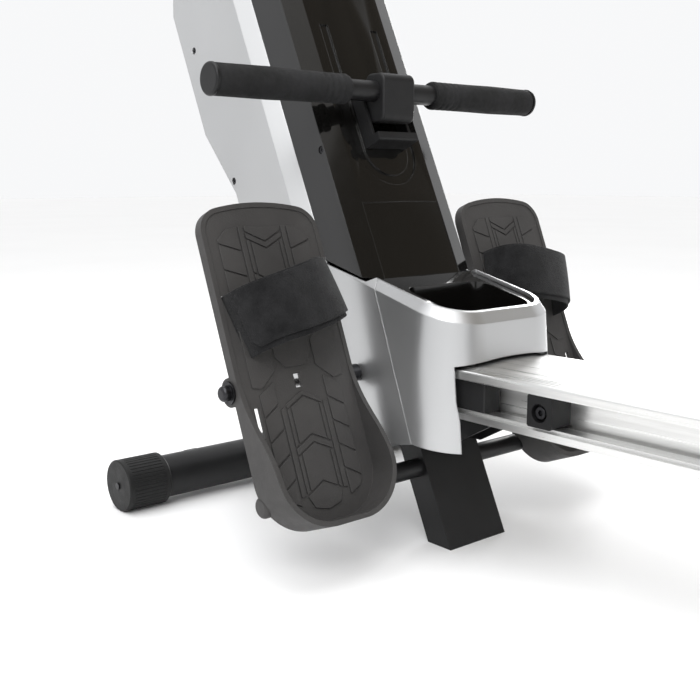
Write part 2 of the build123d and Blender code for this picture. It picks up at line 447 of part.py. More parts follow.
# ---- drive inside the tower ---------------------------------------------------------------
def make_drive():
    outline = [(-15, 222), (15, 222), (62, 380), (78, 560), (78, 660), (10, 722), (-44, 700),
               (-44, 470), (-15, 345)]
    plate = prism_x(outline, PLATE_X, PLATE_X + PLATE_T)
    for f, s, r in [(PULLEY_F, PULLEY_S, DRIVE_AXLE_R), (FLYWHEEL_F, FLYWHEEL_S, FLY_AXLE_R),
                    (*to_tower(GUIDE_Y, GUIDE_Z), 4), (BRAKE_PIVOT_F, BRAKE_PIVOT_S, 4),
                    (0, PLATE_BOLTS_S[0], 4), (0, PLATE_BOLTS_S[1], 4), (*IDLER_FS, 4)]:
        plate -= rod_x(0, 100, f, s, r)
    nodes["drive_plates"] = group([TOWER * side for side in both(plate)])

    end = PLATE_X + PLATE_T
    spacers = [TOWER * rod_x(-PLATE_X, PLATE_X, f, s, 5)
               for f, s in ((60, 500), (-30, 560), (-22, 700))]

    def bolt(f, s, r, head_r):
        """Axle or bolt right through both plates, with a hexagon head and nut."""
        hexagon = Pos(0, f, s) * extrude(Plane.YZ.offset(end) * RegularPolygon(head_r, 6), 6)
        return TOWER * (rod_x(-end, end, f, s, r) + hexagon + mirror(hexagon, about=Plane.YZ))
    pins = [*((0, s) for s in PLATE_BOLTS_S), to_tower(GUIDE_Y, GUIDE_Z),
            (BRAKE_PIVOT_F, BRAKE_PIVOT_S), IDLER_FS]
    nodes["drive_bolts"] = group([bolt(f, s, 4, 7) for f, s in pins] + spacers)
    nodes["drive_axles"] = group([bolt(PULLEY_F, PULLEY_S, DRIVE_AXLE_R, 10),
                                  bolt(FLYWHEEL_F, FLYWHEEL_S, FLY_AXLE_R, 9)])

    def at(f, s, shape):
        return TOWER * Pos(0, f, s) * shape

    rim = rod_x(-FLYWHEEL_HALF, FLYWHEEL_HALF, 0, 0, FLYWHEEL_R)
    recess = rod_x(6, FLYWHEEL_HALF + 1, 0, 0, FLYWHEEL_R - 20) - rod_x(0, 40, 0, 0, 20)
    wheel = rim - recess - mirror(recess, about=Plane.YZ) - rod_x(-40, 40, 0, 0, FLY_AXLE_R + RUNNING)
    nodes["flywheel"] = at(FLYWHEEL_F, FLYWHEEL_S, chamfer(wheel.edges().filter_by(
        GeomType.CIRCLE).sort_by(SortBy.LENGTH)[-2:], 1.5))
    small = rod_x(BELT_X0 - 2, BELT_X1 + 2, 0, 0, SMALL_PULLEY_R + 2.5)
    small -= rod_x(BELT_X0 - 0.3, BELT_X1 + 0.3, 0, 0, 60) - rod_x(0, 60, 0, 0, SMALL_PULLEY_R)
    small += rod_x(FLYWHEEL_HALF, BELT_X0, 0, 0, 16)
    nodes["flywheel_pulley"] = at(FLYWHEEL_F, FLYWHEEL_S,
                                  small - rod_x(0, 60, 0, 0, FLY_AXLE_R + RUNNING))

    big = rod_x(BELT_X0 - 2, BELT_X1 + 2, 0, 0, PULLEY_R + 2)
    big -= rod_x(BELT_X0 - 0.3, BELT_X1 + 0.3, 0, 0, 90) - rod_x(0, 60, 0, 0, PULLEY_R)
    big -= rod_x(BELT_X0 + 3, 60, 0, 0, PULLEY_R - 8) - rod_x(0, 60, 0, 0, 18)
    holes = Sketch() + PolarLocations(38, 5) * Circle(11)
    big -= extrude(Plane.YZ * holes, 60)
    nodes["drive_pulley"] = at(PULLEY_F, PULLEY_S, big - rod_x(0, 60, 0, 0, DRIVE_AXLE_R + RUNNING))

    drum = rod_x(-15.5, 15.5, 0, 0, 29)
    for side in (-1, 1):
        drum += Pos(side * 17, 0, 0) * Rot(0, 90, 0) * Cylinder(52, 3)
    nodes["strap_drum"] = at(PULLEY_F, PULLEY_S, drum - rod_x(-30, 30, 0, 0, DRIVE_AXLE_R + RUNNING))
    nodes["strap_coil"] = at(PULLEY_F, PULLEY_S, rod_x(-14, 14, 0, 0, 44) - rod_x(-20, 20, 0, 0, 29))
    case = rod_x(-PLATE_X, -22, 0, 0, 48) - rod_x(-PLATE_X, -20, 0, 0, DRIVE_AXLE_R)
    nodes["recoil_spring_case"] = at(PULLEY_F, PULLEY_S, chamfer(case.edges().filter_by(
        GeomType.CIRCLE).group_by(Axis.X)[-1].sort_by(SortBy.LENGTH)[-1:], 3))

    nodes["belt"] = TOWER * (belt_loop(BELT_GAP + BELT_T) - belt_loop(BELT_GAP))
    idler = rod_x(BELT_X0 - 1, BELT_X1 + 1, *IDLER_FS, IDLER_R)
    nodes["idler"] = TOWER * (idler - rod_x(0, 60, *IDLER_FS, 4 + RUNNING))
    guide = rod_x(-17, 17, GUIDE_Y, GUIDE_Z, GUIDE_R) - rod_x(-30, 30, GUIDE_Y, GUIDE_Z, 4 + RUNNING)
    nodes["guide_roller"] = guide

    # Brake shoe: a curved arm round the flywheel with three magnets on its inside.
    arm = rod_x(-22, 22, 0, 0, BRAKE_R + 4) - rod_x(-30, 30, 0, 0, BRAKE_R)
    keep = prism_x([(0, 0), (220 * cos(radians(60)), 220 * sin(radians(60))), (0, 260),
                    (220 * cos(radians(150)), 220 * sin(radians(150)))], -30, 30)
    arm = at(FLYWHEEL_F, FLYWHEEL_S, arm & keep)
    lug = TOWER * rod_x(-22, 22, BRAKE_PIVOT_F, BRAKE_PIVOT_S, 9)
    arm = (arm + lug) - TOWER * rod_x(-60, 60, BRAKE_PIVOT_F, BRAKE_PIVOT_S, 4 + RUNNING)
    nodes["brake_arm"] = arm - at(FLYWHEEL_F, FLYWHEEL_S, rod_x(-60, 60, 0, 0, BRAKE_R - 4))
    magnet = box(-18, 18, -9, 9, BRAKE_R - 4.5, BRAKE_R - 0.5)
    nodes["brake_magnets"] = group([at(FLYWHEEL_F, FLYWHEEL_S, Rot(turn, 0, 0) * magnet)
                                    for turn in (-18, 2, 22)])


def belt_loop(offset):
    """Solid inside a belt that runs offset outside both pulleys."""
    circles = (Pos(PULLEY_F, PULLEY_S) * Circle(PULLEY_R + offset)
               + Pos(FLYWHEEL_F, FLYWHEEL_S) * Circle(SMALL_PULLEY_R + offset))
    loop = make_hull(circles.edges())
    return extrude(Plane.YZ.offset(BELT_X0) * loop, BELT_X1 - BELT_X0)


def idler_place():
    """Idler centre, just outside the belt's run on the rower's side."""
    length = hypot(FLYWHEEL_F - PULLEY_F, FLYWHEEL_S - PULLEY_S)
    ef, es = (FLYWHEEL_F - PULLEY_F) / length, (FLYWHEEL_S - PULLEY_S) / length
    lean = (PULLEY_R - SMALL_PULLEY_R) / length
    mf, ms = ef * lean - es * sqrt(1 - lean ** 2), es * lean + ef * sqrt(1 - lean ** 2)
    out = BELT_GAP + BELT_T + 0.3 + IDLER_R
    along = 85.0
    return PULLEY_F + mf * (PULLEY_R + out) + ms * along, PULLEY_S + ms * (PULLEY_R + out) - mf * along


# ---- tension knob and console -------------------------------------------------------------
def make_controls():
    knob = rod_y(FACE_F - 25, FACE_F - 1, 0, KNOB_S, KNOB_R)
    knob = fillet(knob.edges().group_by(Axis.Y)[0], 4)
    for turn in range(18):
        flute = rod_y(FACE_F - 30, FACE_F - 8, 0, KNOB_R + 1, 2.6)
        knob -= Pos(0, 0, KNOB_S) * Rot(0, 20 * turn, 0) * flute
    knob += rod_y(FACE_F - 2, -32, 0, KNOB_S, 6)
    knob += box(-1.2, 1.2, FACE_F - 25.6, FACE_F - 20, KNOB_S + 8, KNOB_S + 22)
    nodes["tension_knob"] = TOWER * knob

    top = TOWER_TOP + 12.2
    base = box(-30, 30, -16, 16, top, top + 4)
    ear = box(21, 26, -12, 12, top, CONSOLE_PIVOT_S) + rod_x(21, 26, CONSOLE_F, CONSOLE_PIVOT_S, 12)
    bracket = base + ear + mirror(ear, about=Plane.YZ)
    pin = rod_x(-26, 26, CONSOLE_F, CONSOLE_PIVOT_S, 4)
    pin += both_rods(26, 30, CONSOLE_F, CONSOLE_PIVOT_S, 7)
    nodes["console_bracket"] = TOWER * (bracket + pin)

    low = CONSOLE_PIVOT_S + 16
    shell = box(-84, 84, -17, 17, low, low + 118)
    shell = fillet(shell.edges().filter_by(Axis.Y), 18)
    shell = fillet(shell.faces().sort_by(Axis.Y)[0].edges(), 4)
    neck = rod_x(-20.5, 20.5, CONSOLE_F, CONSOLE_PIVOT_S, 10)
    neck += box(-20.5, 20.5, -9, 9, CONSOLE_PIVOT_S, low + 1)
    shell = shell + neck - rod_x(-60, 60, CONSOLE_F, CONSOLE_PIVOT_S, 4 + RUNNING)
    screen = box(-58, 58, -17, -15, low + 44, low + 106)
    screen = fillet(screen.edges().filter_by(Axis.Y), 5)
    shell -= screen
    for x in BUTTON_X:
        shell -= rod_y(-20, -6, x, low + 22, 7.3)
    nodes["console_shell"] = TOWER * shell
    nodes["console_screen"] = TOWER * screen
    for number, x in enumerate(BUTTON_X, start=1):
        button = rod_y(-19.5, -8.5, x, low + 22, 7)
        button = fillet(button.edges().group_by(Axis.Y)[0], 1.2)
        nodes[f"console_button_{number}"] = TOWER * button


# ---- handle -------------------------------------------------------------------------------
def make_handle():
    tube = (rod_x(-HANDLE_HALF + 4, HANDLE_HALF - 4, HANDLE_Y, HANDLE_Z, HANDLE_R)
            - rod_x(-300, 300, HANDLE_Y, HANDLE_Z, HANDLE_R - TUBE_WALL))
    grip = rod_x(62, HANDLE_HALF - 4, HANDLE_Y, HANDLE_Z, HANDLE_R + 4.5)
    grip = fillet(grip.edges().group_by(Axis.X)[0], 3)
    nodes["handle_grips"] = group(both(grip - rod_x(0, 300, HANDLE_Y, HANDLE_Z, HANDLE_R)))
    plug = rod_x(HANDLE_HALF - 4, HANDLE_HALF, HANDLE_Y, HANDLE_Z, HANDLE_R + 5)
    plug = fillet(plug.edges().group_by(Axis.X)[-1], 2.5)
    plug += rod_x(HANDLE_HALF - 20, HANDLE_HALF - 4, HANDLE_Y, HANDLE_Z, HANDLE_R - TUBE_WALL)
    nodes["handle_bar"] = tube + plug + mirror(plug, about=Plane.YZ)
    hub = box(-23, 23, HANDLE_Y - 17, HANDLE_Y + 14, HANDLE_Z - 33, HANDLE_Z + 19)
    hub = fillet(hub.edges().filter_by(Axis.X), 9)
    hub = fillet(hub.edges().filter_by(GeomType.CIRCLE), 3)
    hub -= rod_x(-60, 60, HANDLE_Y, HANDLE_Z, HANDLE_R)
    nodes["handle_hub"] = hub
    strap_start = HANDLE_Y + 14
    nodes["pull_strap"] = box(-14, 14, strap_start, GUIDE_Y + 1, HANDLE_Z - 0.9, HANDLE_Z + 0.9)


# ---- pedals -------------------------------------------------------------------------------
def pedal_outline(inset):
    """Foot plate seen square on: slightly arched top, straight sides, broad round heel."""
    half, low = PEDAL_HALF - inset, HEEL_LOW + inset
    body = Pos(0, (PEDAL_TOP + low) / 2) * Rectangle(2 * half, PEDAL_TOP - low)
    body = fillet(body.vertices().sort_by(Axis.Y)[:2], HEEL_CORNER - inset)
    body = body & Pos(0, PEDAL_TOP - inset - TOP_ARC_R) * Circle(TOP_ARC_R)
    return fillet(body.vertices().sort_by(Axis.Y)[-2:], 26 - inset)


def make_pedals():
    back = Plane.XZ.offset(BED_BACK)
    bed = extrude(back * pedal_outline(0), BED_THICK)
    rim = pedal_outline(0) - pedal_outline(PEDAL_WALL)
    wall = extrude(Plane.XZ.offset(SKIRT_BACK) * rim, 50)
    rise = Spline((-15.5, 12), (-29, -44), (-46, -98), tangents=((0, -1), (-0.05, -1)))
    edge = Polyline((-46, -98), (-47.5, -160), (0, -160), (0, 190), (-15.5, 190), (-15.5, 12))
    profile = Plane.YZ.offset(-100) * make_face(rise + edge)
    plate = bed + (wall & extrude(profile, 200))
    lug = box(PEDAL_HALF - 6, PEDAL_HALF, -BED_BACK - 1, 0, -14, 14)
    lug += rod_x(PEDAL_HALF - 6, PEDAL_HALF, 0, 0, 14)
    plate = plate + lug + mirror(lug, about=Plane.YZ)
    plate -= rod_x(-100, 100, 0, 0, AXLE_R + RUNNING)
    plate -= box(-4, 4, -30, -5, -7, 7)
    slot_half = STRAP_WIDTH / 2 + 1.5
    slot = box(52.3, 58.7, -30, -5, -slot_half, slot_half)
    strap_slots = slot + mirror(slot, about=Plane.YZ)
    # The skirt is notched where the foot plate rests against the cross tube.
    cross = Vector(0, CROSS_Y - AXLE_Y, CROSS_Z - AXLE_Z).rotate(Axis.X, PEDAL_LEAN)
    plate -= rod_x(-100, 100, cross.Y, cross.Z, CROSS_R + 1.3)

    # Strap over the foot: an arch whose ends go down through the slots in the plate.
    sketch = Plane(origin=(0, 0, STRAP_WIDTH / 2), x_dir=(1, 0, 0), z_dir=(0, 0, -1))
    arch = Ellipse(57.8, STRAP_RISE) - Ellipse(53.3, STRAP_RISE - 4.5)
    arch = Pos(0, 16) * (arch & Pos(0, 50) * Rectangle(200, 100))
    for side in (-1, 1):
        arch += Pos(side * 55.55, 12.5) * Rectangle(4.5, 7)
    strap = extrude(sketch * arch, STRAP_WIDTH)

    for name, side in (("left", -1), ("right", 1)):
        place = Pos(side * PEDAL_X, AXLE_Y, AXLE_Z) * Rot(-PEDAL_LEAN, 0, 0)
        strap_place = Pos(0, 0, STRAP_CENTRE_A) * Rot(0, side * STRAP_TURN, 0)
        vent = Pos(side * 54, 0, -35) * Box(6, 60, 30)
        nodes[f"pedal_{name}"] = place * (plate - strap_place * strap_slots - vent)
        nodes[f"foot_strap_{name}"] = place * strap_place * strap

    reach = PEDAL_X + PEDAL_HALF
    nodes["pedal_axle"] = rod_x(-reach - 7, reach + 7, AXLE_Y, AXLE_Z, AXLE_R)
    washer = rod_x(reach + 0.3, reach + 2.1, AXLE_Y, AXLE_Z, 11)
    nut = rod_x(reach + 2.1, reach + 10, AXLE_Y, AXLE_Z, 7.5)
    nut = fillet(nut.edges().group_by(Axis.X)[-1], 3.5)
    spacer = rod_x(COVER_HALF + 0.2, PEDAL_X - PEDAL_HALF - 0.3, AXLE_Y, AXLE_Z, 9)
    bore = rod_x(0, reach + 7, AXLE_Y, AXLE_Z, AXLE_R)
    nodes["axle_fittings"] = group(both(washer - bore) + both(nut - bore) + both(spacer - bore))


# ---- seat ---------------------------------------------------------------------------------
def make_seat():
    side = prism_x([(SEAT_Y - 88, 212), (SEAT_Y + 88, 212), (SEAT_Y + 88, 196), (SEAT_Y + 74, 160),
                    (SEAT_Y - 74, 160), (SEAT_Y - 88, 196)], 71, 75)
    top = box(-75, 75, SEAT_Y - 88, SEAT_Y + 88, 208, 212)
    pads = [box(x - 14, x + 14, SEAT_Y - 70, SEAT_Y + 70, 212, 222) for x in (-45, 45)]
    carriage = top + side + mirror(side, about=Plane.YZ) + pads[0] + pads[1]
    axles, rollers = [], {}
    for name, y in (("front", SEAT_Y + ROLLER_SPREAD), ("rear", SEAT_Y - ROLLER_SPREAD)):
        carriage -= rod_x(-90, 90, y, ROLLER_Z, AXLE_R)
        axle = (rod_x(43, 75, y, ROLLER_Z, AXLE_R) + rod_x(66, 71, y, ROLLER_Z, 6.5)
                + Pos(0, y, ROLLER_Z) * extrude(Plane.YZ.offset(75) * RegularPolygon(7, 6), 5)
                + rod_x(41, 43.5, y, ROLLER_Z, 6.5))
        axles += both(axle)
        roller = rod_x(45, 63, y, ROLLER_Z, ROLLER_R)
        roller = fillet(roller.edges().filter_by(GeomType.CIRCLE), 1.5)
        rollers[name] = both(roller - rod_x(0, 90, y, ROLLER_Z, AXLE_R + RUNNING))
    for name, pair in rollers.items():
        nodes[f"seat_rollers_{name}"] = group(pair)
    nodes["seat_carriage"] = carriage
    nodes["seat_axles"] = group(axles)

    base = box(-140, 140, SEAT_Y - 105, SEAT_Y + 105, 222, 236)
    base = fillet(base.edges().filter_by(Axis.Z), 60)
    base = chamfer(base.faces().sort_by(Axis.Z)[0].edges(), 5)
    nodes["seat_base"] = base
    pad = box(-150, 150, SEAT_Y - 118, SEAT_Y + 118, 236.4, 288)
    pad = fillet(pad.edges().filter_by(Axis.Z), 72)
    pad = fillet(pad.faces().sort_by(Axis.Z)[-1].edges(), 20)
    nodes["seat_pad"] = fillet(pad.faces().sort_by(Axis.Z)[0].edges(), 10)


# ---- places that several parts share ------------------------------------------------------
FRONT_SADDLE_TILT, SADDLE_BOLTS_X = 60.0, (-42.0, 42.0)
PLATE_BOLTS_S = (250.0, 310.0)
RAIL_BOLTS_Y = (-66.0, 20.0)
LEG_BOLTS_Y = (REAR_LEG_Y - 24.0, REAR_LEG_Y + 24.0)
PANEL_SCREWS = ((110.0, 465.0), (100.0, 330.0), (118.0, 640.0))
BAND_SCREWS = ((-39.0, 431.6), (-39.0, 640.0))
TRAY_HALF, TRAY_Y0, TRAY_Y1, TRAY_FLOOR = 59.0, -34.0, 42.0, 211.0
SHRINK = (SHELF_Z0 - 10 - BASE_Z) * tan(radians(BASE_DRAFT))    # of the base, at the height of the tray
RIM_HALF = BASE_HALF - SHRINK - RIM_MARGIN
RIM_REAR_Y = BASE_REAR_Y + SHRINK + RIM_MARGIN
RIM_CORNER = BASE_CORNER - SHRINK - RIM_MARGIN
BUTTON_X = (-45.0, 0.0, 45.0)
IDLER_R = 13.0
IDLER_FS = idler_place()

make_frame()
make_stabilisers()
make_rail()
make_covers()
make_drive()
make_controls()
make_handle()
make_pedals()
make_seat()
nodes["frame_bolts"], nodes["small_screws"] = group(frame_bolts), group(small_screws)

# ---- export -------------------------------------------------------------------------------
whole = [shape.bounding_box() for shape in nodes.values()]
front_y, rear_y = max(b.max.Y for b in whole), min(b.min.Y for b in whole)
shift = -(front_y + rear_y) / 2
os.makedirs("parts", exist_ok=True)
for name, shape in nodes.items():
    export_step(Pos(0, shift, 0) * shape, f"parts/{name}.step")
print(f"{len(nodes)} nodes, y {rear_y:.3f} to {front_y:.3f}, moved {shift:.3f} along Y,",
      f"top {max(b.max.Z for b in whole):.2f}, half width {max(b.max.X for b in whole):.2f}")
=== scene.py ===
import json
import math

import bpy
from mathutils import Matrix, Vector


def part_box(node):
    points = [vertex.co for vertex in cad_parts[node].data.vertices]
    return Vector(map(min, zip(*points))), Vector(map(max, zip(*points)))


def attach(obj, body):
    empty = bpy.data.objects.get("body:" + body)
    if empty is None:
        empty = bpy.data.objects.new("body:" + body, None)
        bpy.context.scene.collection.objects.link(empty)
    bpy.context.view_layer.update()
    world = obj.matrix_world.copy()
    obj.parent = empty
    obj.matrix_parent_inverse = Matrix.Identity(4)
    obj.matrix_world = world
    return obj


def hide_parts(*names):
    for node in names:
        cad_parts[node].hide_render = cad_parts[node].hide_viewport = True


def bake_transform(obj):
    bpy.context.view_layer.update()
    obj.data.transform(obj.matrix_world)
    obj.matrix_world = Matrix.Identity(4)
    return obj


# Magnetic rowing machine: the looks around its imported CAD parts, in metres.
# +Z is up, +X the rower's right when facing the tower, +Y from the seat to the tower.
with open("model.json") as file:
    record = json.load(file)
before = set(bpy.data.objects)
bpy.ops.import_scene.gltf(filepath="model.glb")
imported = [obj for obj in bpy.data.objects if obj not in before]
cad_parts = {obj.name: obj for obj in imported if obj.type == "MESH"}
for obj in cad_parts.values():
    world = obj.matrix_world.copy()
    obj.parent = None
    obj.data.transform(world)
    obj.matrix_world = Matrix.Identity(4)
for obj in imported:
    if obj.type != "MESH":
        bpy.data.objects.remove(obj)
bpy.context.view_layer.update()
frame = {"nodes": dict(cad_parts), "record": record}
bpy.ops.object.select_all(action="DESELECT")

# ---- places and sizes ---------------------------------------------------------------------
MM = 0.001
FOOT_Y = frame["record"]["mounts"][0]["pos_m"][1]     # the main post's foot
TOWER_LEAN = math.radians(25)
PEDAL_LEAN = math.radians(22)
# Tower frame: x, f forwards, s up along the post. Pedal frame: u across, b towards the rower, a up.
TOWER = Matrix.Translation((0, FOOT_Y, 0)) @ Matrix.Rotation(-TOWER_LEAN, 4, "X")

AXLE_LOW, AXLE_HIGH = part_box("pedal_axle")
AXLE = (AXLE_LOW + AXLE_HIGH) / 2
PEDAL_X = 178 * MM
BED_FACE = 14.5 * MM              # the foot plate's tread side
PAD_RISE, PAD_GAP = 1.4 * MM, 1.7 * MM
STRAP_CENTRE_A, STRAP_WIDTH, STRAP_TURN = 71 * MM, 62 * MM, math.radians(13)

FACE_F, FACE_HALF = -52 * MM, 56 * MM                 # flat of the black front cover
CREASE = 1.8 * MM                 # the flat stands this much prouder along its middle
BAND_X = 79.2 * MM                # the cover's satin side bands start here
KNOB_S, KNOB_R = 690 * MM, 28 * MM
CONSOLE_PIVOT_S = 798 * MM
SCREEN_S, SCREEN_F = CONSOLE_PIVOT_S + 91 * MM, -17 * MM   # middle and front of the console's window


# ---- modelling helpers --------------------------------------------------------------------
def only(*pieces):
    """Selects these pieces and nothing else."""
    if bpy.context.object and bpy.context.object.mode != "OBJECT":
        bpy.ops.object.mode_set(mode="OBJECT")
    bpy.ops.object.select_all(action="DESELECT")
    for piece in pieces:
        piece.select_set(True)
    bpy.context.view_layer.objects.active = pieces[0]


def fresh(name):
    """Names the primitive that was just added."""
    piece = bpy.context.object
    piece.name = name
    piece.data.name = name
    return piece


def edit(piece, mode="FACE"):
    only(piece)
    bpy.ops.object.mode_set(mode="EDIT")
    bpy.ops.mesh.select_mode(type=mode)


def done():
    bpy.ops.object.mode_set(mode="OBJECT")


def outward(piece):
    """Merges doubles and turns every face outwards."""
    edit(piece)
    bpy.ops.mesh.select_all(action="SELECT")
    bpy.ops.mesh.remove_doubles(threshold=1e-6)
    bpy.ops.mesh.normals_make_consistent(inside=False)
    done()


def apply(piece, kind, **settings):
    """Adds a modifier, sets it and applies it."""
    only(piece)
    modifier = piece.modifiers.new(kind.lower(), kind)
    for key, value in settings.items():
        setattr(modifier, key, value)
    bpy.ops.object.modifier_apply(modifier=modifier.name)


def copy_of(node, name):
    """Merged copy of a CAD node's mesh, for a detailed piece that takes the node's place."""
    piece = bpy.data.objects.new(name, frame["nodes"][node].data.copy())
    bpy.context.collection.objects.link(piece)
    edit(piece, "VERT")
    bpy.ops.mesh.select_all(action="SELECT")
    bpy.ops.mesh.remove_doubles(threshold=1e-5)
    done()
    return piece


def joined(name, pieces):
    only(*pieces)
    if len(pieces) > 1:
        bpy.ops.object.join()
    return fresh(name)


def stood(piece, place):
    """Stands a piece at a place and writes the place into its mesh; text is made a mesh first."""
    piece.matrix_world = place
    only(piece)
    if piece.type == "FONT":
        bpy.ops.object.convert(target="MESH")
    bpy.ops.object.transform_apply(location=True, rotation=True, scale=True)
    return piece


def rounded(piece, width, segments, sharper_than):
    """Bevels the edges that turn by more than an angle in degrees."""
    apply(piece, "BEVEL", width=width, segments=segments, limit_method="ANGLE",
          angle_limit=math.radians(sharper_than))


def settle(piece, body, finish, place=None, angle=35):
    """Puts a piece in its place in the row frame, smooths it and gives it body and finish."""
    if place is not None:
        piece.matrix_world = place @ piece.matrix_world
    only(piece)
    bpy.ops.object.transform_apply(location=True, rotation=True, scale=True)
    bpy.ops.object.shade_smooth_by_angle(angle=math.radians(angle))
    piece.data.materials.clear()
    piece.data.materials.append(finish)
    if body:
        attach(piece, body)
    return piece


def turned(name, profile, segments=48):
    """Solid of revolution about local X through (x, radius) pairs, extruded ring by ring."""
    x0, r0 = profile[0]
    bpy.ops.mesh.primitive_circle_add(vertices=segments, radius=r0, fill_type="NGON",
                                      location=(x0, 0, 0), rotation=(0, math.pi / 2, 0))
    piece = fresh(name)
    bpy.ops.object.transform_apply(location=True, rotation=True)
    edit(piece)
    bpy.ops.mesh.select_all(action="SELECT")
    for x1, r1 in profile[1:]:
        bpy.ops.mesh.extrude_region_move(TRANSFORM_OT_translate={"value": (x1 - x0, 0, 0)})
        bpy.ops.transform.resize(value=(1, r1 / r0, r1 / r0), center_override=(x1, 0, 0))
        x0, r0 = x1, r1
    done()
    outward(piece)
    return piece


# ---- finishes -----------------------------------------------------------------------------
class Finish:
    """A procedural material on Object coordinates, built up a layer at a time."""

    def __init__(self, name, edge=0.5 * MM, **sockets):
        self.material = bpy.data.materials.new(name)
        self.material.use_nodes = True
        self.tree = self.material.node_tree
        self.shader = self.tree.nodes["Principled BSDF"]
        for key, value in sockets.items():
            self.shader.inputs[key.replace("_", " ")].default_value = value
        self.coordinates = self.tree.nodes.new("ShaderNodeTexCoord").outputs["Object"]
        softened = self.tree.nodes.new("ShaderNodeBevel")     # rounds every hard edge a little
        softened.samples = 4
        softened.inputs["Radius"].default_value = edge
        self.height = softened.outputs["Normal"]

    def link(self, source, target):
        self.tree.links.new(source, target)

    def mapped(self, stretch=(1, 1, 1)):
        node = self.tree.nodes.new("ShaderNodeMapping")
        node.inputs["Scale"].default_value = stretch
        self.link(self.coordinates, node.inputs["Vector"])
        return node.outputs["Vector"]

    def noise(self, scale, stretch=(1, 1, 1), detail=3.0, rough=0.55):
        node = self.tree.nodes.new("ShaderNodeTexNoise")
        node.inputs["Scale"].default_value = scale
        node.inputs["Detail"].default_value = detail
        node.inputs["Roughness"].default_value = rough
        self.link(self.mapped(stretch), node.inputs["Vector"])
        return node.outputs["Fac"]

    def cells(self, scale, feature="F1"):
        node = self.tree.nodes.new("ShaderNodeTexVoronoi")
        node.feature = feature
        node.inputs["Scale"].default_value = scale
        self.link(self.mapped(), node.inputs["Vector"])
        return node.outputs["Distance"]

    def wave(self, scale, direction):
        node = self.tree.nodes.new("ShaderNodeTexWave")
        node.bands_direction = direction
        node.inputs["Scale"].default_value = scale
        self.link(self.mapped(), node.inputs["Vector"])
        return node.outputs["Fac"]

    def spread(self, value, low, high, from_low=0.3, from_high=0.7):
        node = self.tree.nodes.new("ShaderNodeMapRange")
        node.inputs["From Min"].default_value = from_low
        node.inputs["From Max"].default_value = from_high
        node.inputs["To Min"].default_value = low
        node.inputs["To Max"].default_value = high
        self.link(value, node.inputs["Value"])
        return node.outputs["Result"]

    def colours(self, value, first, second, low=0.3, high=0.7):
        node = self.tree.nodes.new("ShaderNodeValToRGB")
        node.color_ramp.elements[0].position = low
        node.color_ramp.elements[0].color = (*first, 1)
        node.color_ramp.elements[1].position = high
        node.color_ramp.elements[1].color = (*second, 1)
        self.link(value, node.inputs["Fac"])
        self.link(node.outputs["Color"], self.shader.inputs["Base Color"])
        return self

    def roughness(self, value, low, high):
        self.link(self.spread(value, low, high), self.shader.inputs["Roughness"])
        return self

    def bump(self, value, depth, strength):
        node = self.tree.nodes.new("ShaderNodeBump")
        node.inputs["Strength"].default_value = strength
        node.inputs["Distance"].default_value = depth
        self.link(value, node.inputs["Height"])
        self.link(self.height, node.inputs["Normal"])
        self.height = node.outputs["Normal"]
        self.link(self.height, self.shader.inputs["Normal"])
        return self

    def combine(self, first, second, operation="MULTIPLY"):
        """One value out of two by a plain sum or product."""
        node = self.tree.nodes.new("ShaderNodeMath")
        node.operation = operation
        self.link(first, node.inputs[0])
        self.link(second, node.inputs[1])
        return node.outputs["Value"]


def powder_coat():
    coat = Finish("black_powder_coat", Specular_IOR_Level=0.28)
    coat.colours(coat.noise(9), (0.007, 0.007, 0.0075), (0.012, 0.012, 0.0125))
    coat.roughness(coat.noise(60), 0.34, 0.46)
    return coat.bump(coat.cells(900), 0.00012, 0.35).bump(coat.noise(240), 0.00010, 0.3).material


def satin_silver():
    paint = Finish("satin_silver_paint", 1.6 * MM, Metallic=0.86, Coat_Weight=0.3, Coat_Roughness=0.16)
    paint.colours(paint.noise(5, detail=2), (0.49, 0.495, 0.50), (0.545, 0.55, 0.555))
    flakes = paint.cells(2600)
    paint.roughness(paint.combine(flakes, paint.noise(35), "ADD"), 0.25, 0.34)
    return paint.bump(paint.noise(420, detail=2), 0.00004, 0.25).material


def gloss_black():
    """Polished front cover; its narrow side bands are satin charcoal."""
    gloss = Finish("gloss_black_plastic", 1.2 * MM, Specular_IOR_Level=0.3, Coat_Weight=0.35,
                   Coat_Roughness=0.05)
    split = gloss.tree.nodes.new("ShaderNodeSeparateXYZ")
    gloss.link(gloss.coordinates, split.inputs["Vector"])
    across = gloss.tree.nodes.new("ShaderNodeMath")
    across.operation = "ABSOLUTE"
    gloss.link(split.outputs["X"], across.inputs[0])
    band = gloss.spread(across.outputs["Value"], 0.0, 1.0, BAND_X, BAND_X + 0.4 * MM)
    gloss.colours(band, (0.0045, 0.0043, 0.004), (0.010, 0.010, 0.0105), 0.0, 1.0)
    swirl = gloss.spread(gloss.noise(40), 0.07, 0.12)
    rough = gloss.tree.nodes.new("ShaderNodeMix")
    gloss.link(band, rough.inputs["Factor"])
    gloss.link(swirl, rough.inputs["A"])
    rough.inputs["B"].default_value = 0.33
    gloss.link(rough.outputs["Result"], gloss.shader.inputs["Roughness"])
    return gloss.bump(gloss.noise(26, detail=1), 0.00035, 0.18).material


def moulded(name, dark, light, low, high, grain=700, depth=0.00014, strength=0.4):
    """Textured moulded plastic or rubber between two close colours."""
    plastic = Finish(name, Specular_IOR_Level=0.28)
    plastic.colours(plastic.noise(14), dark, light)
    plastic.roughness(plastic.noise(90), low, high)
    plastic.bump(plastic.cells(grain), depth, strength)
    return plastic.bump(plastic.noise(grain / 3), depth, 0.25).material


